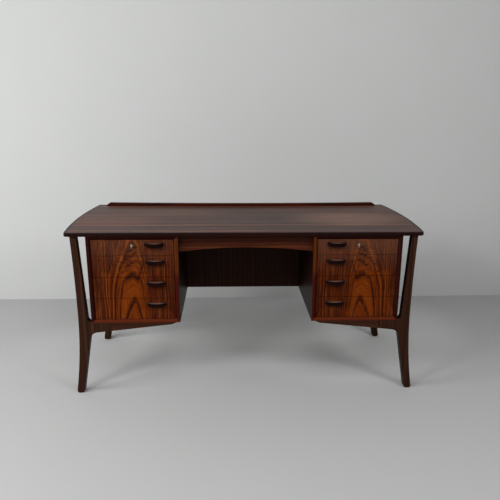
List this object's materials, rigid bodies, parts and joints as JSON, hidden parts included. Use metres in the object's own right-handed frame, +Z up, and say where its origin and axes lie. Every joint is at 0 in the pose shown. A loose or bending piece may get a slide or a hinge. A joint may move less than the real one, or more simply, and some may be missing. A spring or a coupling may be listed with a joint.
{
  "type": "executive desk",
  "caption": "Twin-pedestal executive desk with lockable drawers, a bowed top, an open bookcase at the back and sculpted Y-shaped wooden legs.",
  "frame": {"origin": "on the floor, in the middle of the desk's width and of its whole depth, keys included", "axes": "+X to the right of a person sitting at the desk, +Y to the back of the desk, +Z up; the drawers open towards -Y"},
  "size_m": [1.53, 0.7384, 0.734],
  "materials": {
    "top_veneer": "satin oiled rosewood veneer",
    "dark_wood": "satin dark solid rosewood",
    "red_wood": "satin solid rosewood, reddish",
    "case_veneer": "satin rosewood veneer",
    "front_veneer": "satin flame-figured rosewood veneer",
    "pull_wood": "satin carved rosewood",
    "leg_wood": "satin solid rosewood",
    "lining_wood": "clear lacquered birch",
    "lock_metal": "satin",
    "plated_steel": "worn nickel plate"
  },
  "bodies": {
    "desk": {"top_board": "top_veneer", "top_front_lipping": "dark_wood", "top_rear_lipping": "dark_wood", "back_rail": "red_wood", "drawer_runners": "lining_wood", "apron": "case_veneer", "kneehole_panel": "case_veneer", "bookcase_bottom": "case_veneer", "bookcase_shelf": "case_veneer", "shelf_pins": "plated_steel", "rail_screws": "plated_steel", "top_left_lipping": "dark_wood", "left_case_outer_side": "case_veneer", "left_case_inner_side": "case_veneer", "left_case_top": "case_veneer", "left_case_bottom": "case_veneer", "left_case_back": "case_veneer", "left_rails": "leg_wood", "front_left_leg": "leg_wood", "back_left_leg": "leg_wood", "top_right_lipping": "dark_wood", "right_case_outer_side": "case_veneer", "right_case_inner_side": "case_veneer", "right_case_top": "case_veneer", "right_case_bottom": "case_veneer", "right_case_back": "case_veneer", "right_rails": "leg_wood", "front_right_leg": "leg_wood", "back_right_leg": "leg_wood"},
    "left_drawer_1": {"left_drawer_1_front": "front_veneer", "left_drawer_1_box": "lining_wood", "left_drawer_1_pull": "pull_wood", "left_lock_case": "lock_metal"},
    "left_drawer_2": {"left_drawer_2_front": "front_veneer", "left_drawer_2_box": "lining_wood", "left_drawer_2_pull": "pull_wood"},
    "left_drawer_3": {"left_drawer_3_front": "front_veneer", "left_drawer_3_box": "lining_wood", "left_drawer_3_pull": "pull_wood"},
    "left_drawer_4": {"left_drawer_4_front": "front_veneer", "left_drawer_4_box": "lining_wood", "left_drawer_4_pull": "pull_wood"},
    "left_key_and_plug": {"left_key": "plated_steel"},
    "left_bolt": {"left_lock_bolt": "lock_metal"},
    "right_drawer_1": {"right_drawer_1_front": "front_veneer", "right_drawer_1_box": "lining_wood", "right_drawer_1_pull": "pull_wood", "right_lock_case": "lock_metal"},
    "right_drawer_2": {"right_drawer_2_front": "front_veneer", "right_drawer_2_box": "lining_wood", "right_drawer_2_pull": "pull_wood"},
    "right_drawer_3": {"right_drawer_3_front": "front_veneer", "right_drawer_3_box": "lining_wood", "right_drawer_3_pull": "pull_wood"},
    "right_drawer_4": {"right_drawer_4_front": "front_veneer", "right_drawer_4_box": "lining_wood", "right_drawer_4_pull": "pull_wood"},
    "right_key_and_plug": {"right_key": "plated_steel"},
    "right_bolt": {"right_lock_bolt": "lock_metal"}
  },
  "joints": [
    {"name": "left_drawer_1_slide", "type": "slide", "parent": "desk", "child": "left_drawer_1", "axis": [0, -1, 0], "range_m": [0, 0.4]},
    {"name": "left_drawer_2_slide", "type": "slide", "parent": "desk", "child": "left_drawer_2", "axis": [0, -1, 0], "range_m": [0, 0.4]},
    {"name": "left_drawer_3_slide", "type": "slide", "parent": "desk", "child": "left_drawer_3", "axis": [0, -1, 0], "range_m": [0, 0.4]},
    {"name": "left_drawer_4_slide", "type": "slide", "parent": "desk", "child": "left_drawer_4", "axis": [0, -1, 0], "range_m": [0, 0.4]},
    {"name": "left_key_turn", "type": "hinge", "parent": "left_drawer_1", "child": "left_key_and_plug", "pos_m": [-0.473, -0.34175, 0.6652], "axis": [0, -1, 0], "range_deg": [0, 90]},
    {"name": "left_bolt_lift", "type": "slide", "parent": "left_drawer_1", "child": "left_bolt", "axis": [0, 0, 1], "range_m": [0, 0.00704]},
    {"name": "right_drawer_1_slide", "type": "slide", "parent": "desk", "child": "right_drawer_1", "axis": [0, -1, 0], "range_m": [0, 0.4]},
    {"name": "right_drawer_2_slide", "type": "slide", "parent": "desk", "child": "right_drawer_2", "axis": [0, -1, 0], "range_m": [0, 0.4]},
    {"name": "right_drawer_3_slide", "type": "slide", "parent": "desk", "child": "right_drawer_3", "axis": [0, -1, 0], "range_m": [0, 0.4]},
    {"name": "right_drawer_4_slide", "type": "slide", "parent": "desk", "child": "right_drawer_4", "axis": [0, -1, 0], "range_m": [0, 0.4]},
    {"name": "right_key_turn", "type": "hinge", "parent": "right_drawer_1", "child": "right_key_and_plug", "pos_m": [0.473, -0.34175, 0.6652], "axis": [0, -1, 0], "range_deg": [0, 90]},
    {"name": "right_bolt_lift", "type": "slide", "parent": "right_drawer_1", "child": "right_bolt", "axis": [0, 0, 1], "range_m": [0, 0.00704]}
  ],
  "couplings": [
    {"joint": "left_key_turn", "follows": "left_bolt_lift", "rad_per_m": 223},
    {"joint": "right_key_turn", "follows": "right_bolt_lift", "rad_per_m": 223}
  ]
}
